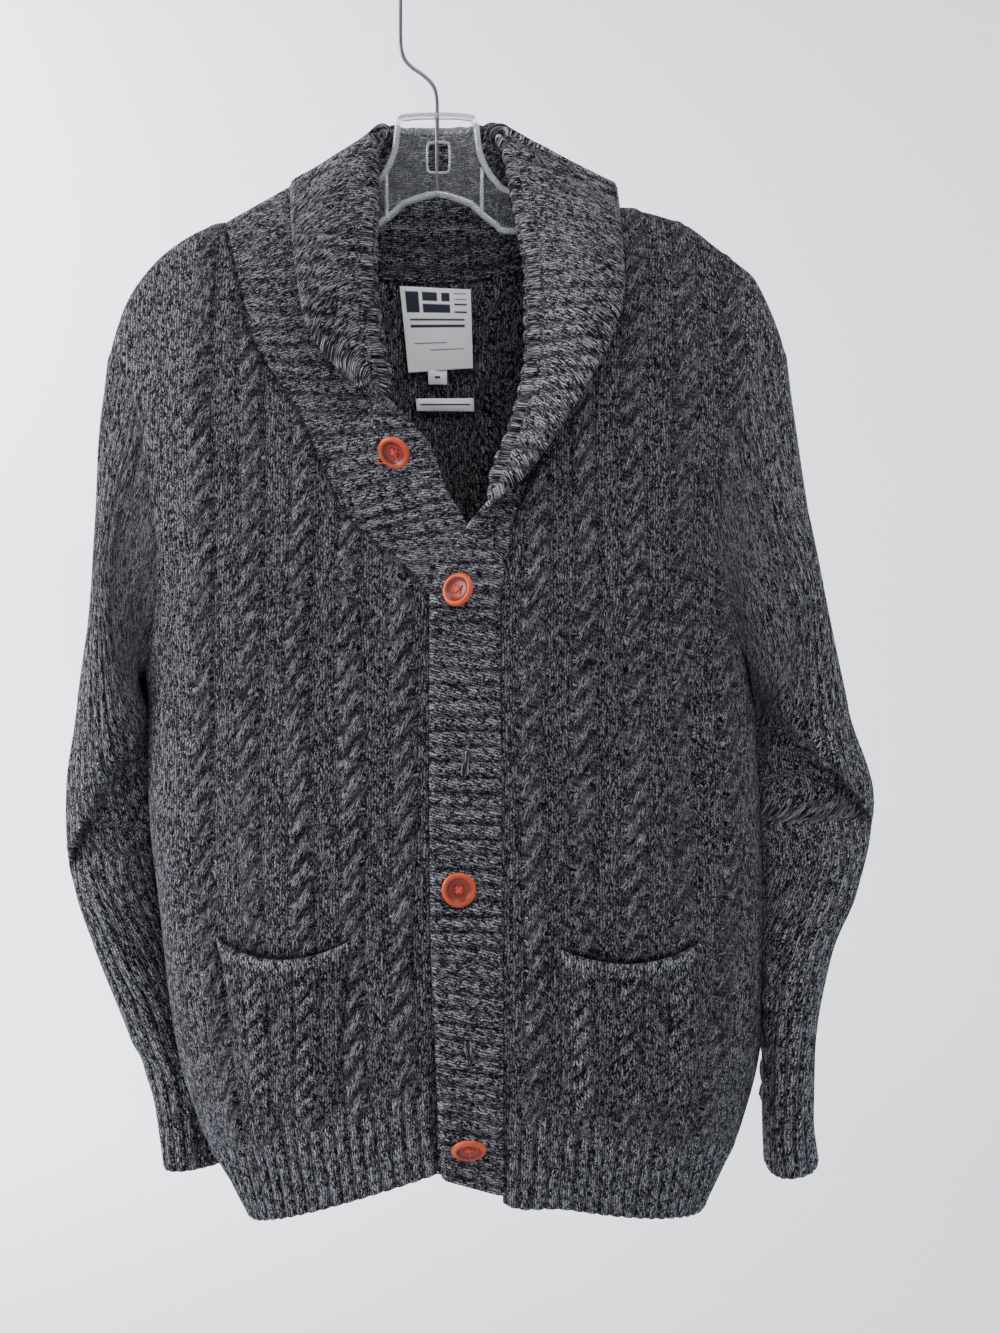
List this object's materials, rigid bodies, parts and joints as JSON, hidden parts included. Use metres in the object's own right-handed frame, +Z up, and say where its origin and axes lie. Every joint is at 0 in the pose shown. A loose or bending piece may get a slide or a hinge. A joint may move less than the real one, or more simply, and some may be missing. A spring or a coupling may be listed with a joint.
{
  "type": "shawl collar cardigan on a clear plastic hanger with a wire hook",
  "caption": "Buttoned cable knit cardigan with a wide shawl collar, ribbed band, cuffs and hem and patch pockets, hanging on a clear plastic hanger.",
  "frame": {"origin": "the inside top of the hook, where it rests on a rail", "axes": "+X to the viewer's right as the front faces the viewer, +Y from the front of the cardigan to its back, +Z up"},
  "size_m": [0.5927, 0.1835, 0.9293],
  "materials": {
    "knit": "thick marled cable knit, near black and light grey yarn twisted together, matt",
    "label": "plain woven label, matt",
    "button": "glossy orange red with a darker middle",
    "clear_plastic": "clear polished plastic",
    "wire": "dark grey plated wire"
  },
  "bodies": {
    "root": {"back": "knit", "front_left": "knit", "front_right": "knit", "sleeve_left": "knit", "sleeve_right": "knit", "collar_band_left": "knit", "collar_band_right": "knit", "pocket_left": "knit", "pocket_right": "knit", "label_main": "label", "label_size": "label", "label_strip": "label", "button_collar": "button", "button_upper": "button", "button_lower": "button", "button_hem": "button", "hanger": "clear_plastic", "hook": "wire"}
  },
  "joints": []
}
